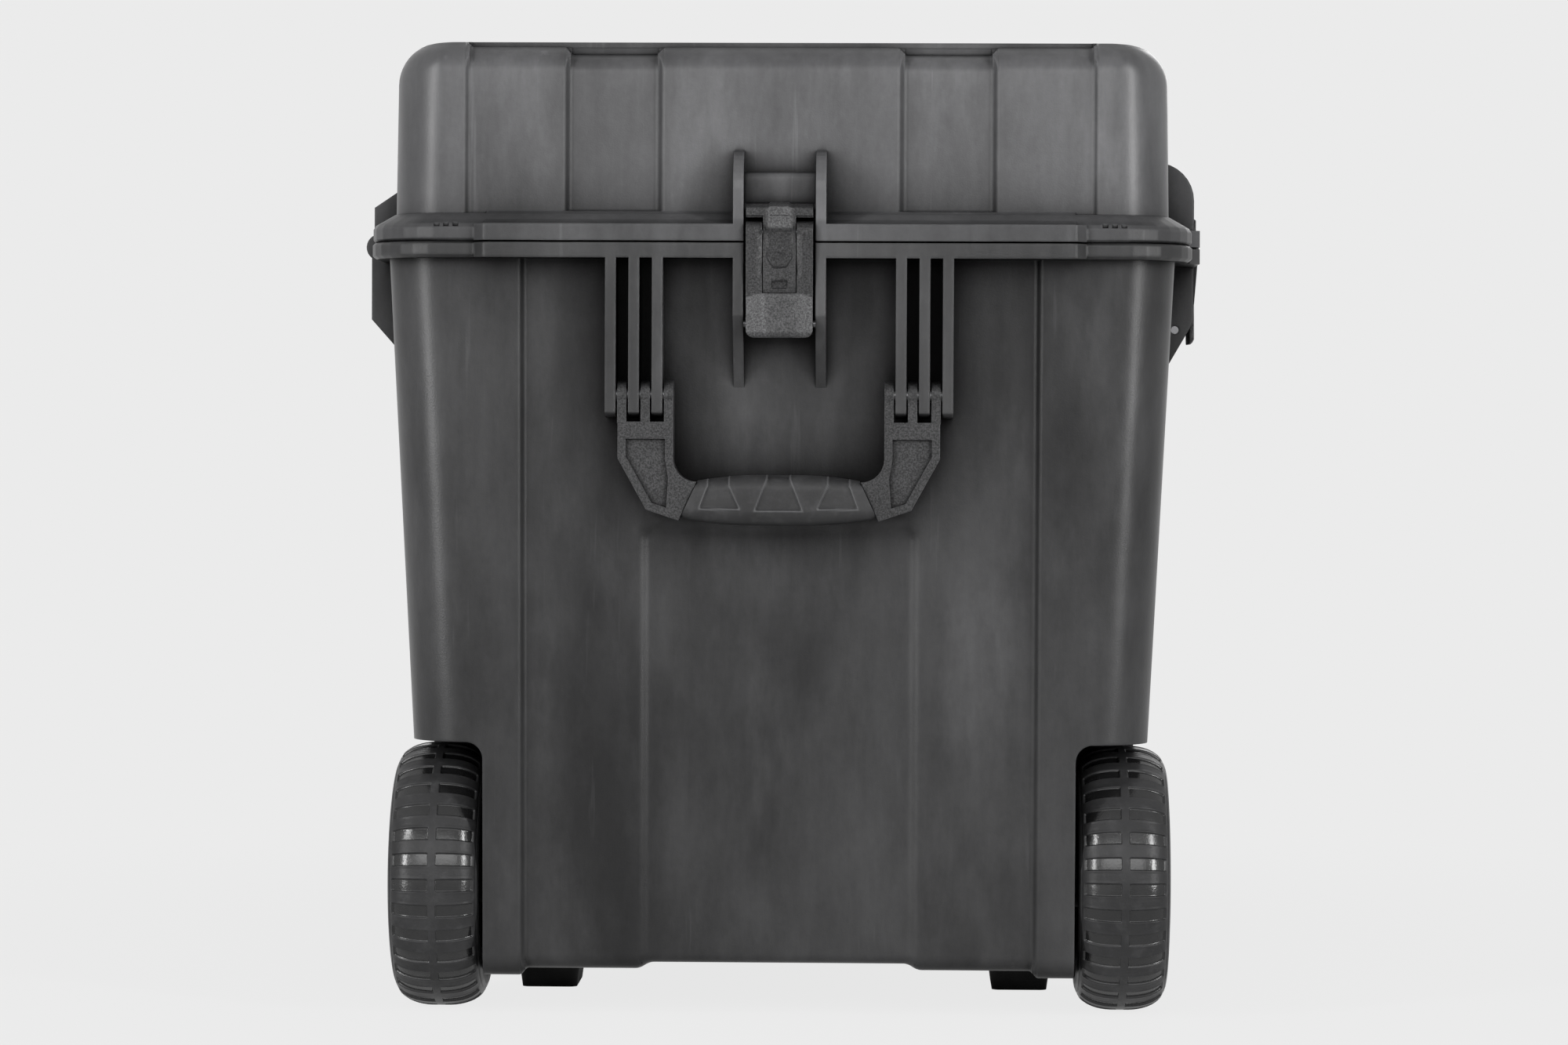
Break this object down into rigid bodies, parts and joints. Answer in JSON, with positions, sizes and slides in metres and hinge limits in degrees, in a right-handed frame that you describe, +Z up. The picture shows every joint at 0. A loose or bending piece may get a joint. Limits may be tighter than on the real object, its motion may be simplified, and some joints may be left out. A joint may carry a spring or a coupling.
{
  "type": "wheeled hard case",
  "caption": "Tall moulded waterproof hard case with a hinged lid, latches, fold-out carry handles, rubber feet and wheels at one end.",
  "frame": {"origin": "centre of the rectangle that bounds the case seen from above, on the floor it stands on", "axes": "+X across the case towards the latched long side, +Y along the case from the wheels to the far end, +Z up"},
  "size_m": [0.5335, 0.721, 0.609],
  "materials": {
    "case_plastic": "satin moulded polypropylene, scuffed",
    "lid_plastic": "satin moulded polypropylene, scuffed",
    "latch_plastic": "rough-textured moulded nylon",
    "handle_plastic": "rough-textured moulded nylon",
    "grip_rubber": "soft moulded rubber",
    "tyre_rubber": "shiny moulded rubber tread",
    "rim_plastic": "satin moulded nylon",
    "foot_rubber": "matt rubber",
    "seal_rubber": "soft sealing rubber",
    "bush_plastic": "acetal bush",
    "valve_plastic": "satin plastic",
    "steel": "zinc plated steel"
  },
  "bodies": {
    "case_body": {"body_shell": "case_plastic", "foot_front_left": "foot_rubber", "foot_front_right": "foot_rubber", "foot_rear_left": "foot_rubber", "foot_rear_right": "foot_rubber", "foot_screws": "steel", "left_axle_bolt": "steel", "right_axle_bolt": "steel", "axle_nuts": "steel", "axle_washers": "steel", "valve_body": "valve_plastic", "valve_cap": "valve_plastic", "valve_nut": "valve_plastic", "hinge_pin_front": "steel", "hinge_pin_rear": "steel", "front_handle_pins": "steel", "rear_handle_pins": "steel", "front_latch_body_pin": "steel", "rear_latch_body_pin": "steel", "side_latch_body_pin_front": "steel", "side_latch_body_pin_rear": "steel"},
    "lid": {"lid_shell": "lid_plastic", "lid_gasket": "seal_rubber"},
    "front_latch_hook": {"front_latch_hook": "latch_plastic"},
    "front_latch_lever": {"front_latch_lever": "latch_plastic", "front_latch_lever_pin": "steel"},
    "rear_latch_hook": {"rear_latch_hook": "latch_plastic"},
    "rear_latch_lever": {"rear_latch_lever": "latch_plastic", "rear_latch_lever_pin": "steel"},
    "side_latch_front_hook": {"side_latch_front_hook": "latch_plastic"},
    "side_latch_front_lever": {"side_latch_front_lever": "latch_plastic", "side_latch_front_lever_pin": "steel"},
    "side_latch_rear_hook": {"side_latch_rear_hook": "latch_plastic"},
    "side_latch_rear_lever": {"side_latch_rear_lever": "latch_plastic", "side_latch_rear_lever_pin": "steel"},
    "front_handle": {"front_handle_frame": "handle_plastic", "front_handle_grip": "grip_rubber"},
    "rear_handle": {"rear_handle_frame": "handle_plastic", "rear_handle_grip": "grip_rubber"},
    "left_wheel": {"left_tyre": "tyre_rubber", "left_rim": "rim_plastic", "left_bushes": "bush_plastic", "left_hub_cap": "rim_plastic"},
    "right_wheel": {"right_tyre": "tyre_rubber", "right_rim": "rim_plastic", "right_bushes": "bush_plastic", "right_hub_cap": "rim_plastic"}
  },
  "joints": [
    {"name": "lid_hinge", "type": "hinge", "parent": "case_body", "child": "lid", "pos_m": [-0.2585, 0, 0.4839], "axis": [0, -1, 0], "range_deg": [0, 100]},
    {"name": "front_latch_swing", "type": "hinge", "parent": "case_body", "child": "front_latch_hook", "pos_m": [0, -0.3445, 0.4335], "axis": [1, 0, 0], "range_deg": [0, 90]},
    {"name": "front_latch_pull", "type": "hinge", "parent": "front_latch_hook", "child": "front_latch_lever", "pos_m": [0, -0.3535, 0.4895], "axis": [-1, 0, 0], "range_deg": [0, 35]},
    {"name": "rear_latch_swing", "type": "hinge", "parent": "case_body", "child": "rear_latch_hook", "pos_m": [0, 0.3445, 0.4335], "axis": [-1, 0, 0], "range_deg": [0, 90]},
    {"name": "rear_latch_pull", "type": "hinge", "parent": "rear_latch_hook", "child": "rear_latch_lever", "pos_m": [0, 0.3535, 0.4895], "axis": [1, 0, 0], "range_deg": [0, 35]},
    {"name": "side_latch_front_swing", "type": "hinge", "parent": "case_body", "child": "side_latch_front_hook", "pos_m": [0.2505, -0.19, 0.4335], "axis": [0, 1, 0], "range_deg": [0, 90]},
    {"name": "side_latch_front_pull", "type": "hinge", "parent": "side_latch_front_hook", "child": "side_latch_front_lever", "pos_m": [0.2595, -0.19, 0.4895], "axis": [0, -1, 0], "range_deg": [0, 35]},
    {"name": "side_latch_rear_swing", "type": "hinge", "parent": "case_body", "child": "side_latch_rear_hook", "pos_m": [0.2505, 0.19, 0.4335], "axis": [0, 1, 0], "range_deg": [0, 90]},
    {"name": "side_latch_rear_pull", "type": "hinge", "parent": "side_latch_rear_hook", "child": "side_latch_rear_lever", "pos_m": [0.2595, 0.19, 0.4895], "axis": [0, -1, 0], "range_deg": [0, 35]},
    {"name": "front_handle_swing", "type": "hinge", "parent": "case_body", "child": "front_handle", "pos_m": [0, -0.3475, 0.3895], "axis": [-1, 0, 0], "range_deg": [0, 90]},
    {"name": "rear_handle_swing", "type": "hinge", "parent": "case_body", "child": "rear_handle", "pos_m": [0, 0.3475, 0.3895], "axis": [1, 0, 0], "range_deg": [0, 90]},
    {"name": "left_wheel_spin", "type": "hinge", "parent": "case_body", "child": "left_wheel", "pos_m": [-0.21575, -0.246, 0.084], "axis": [1, 0, 0], "continuous": true},
    {"name": "right_wheel_spin", "type": "hinge", "parent": "case_body", "child": "right_wheel", "pos_m": [0.21575, -0.246, 0.084], "axis": [1, 0, 0], "continuous": true}
  ]
}
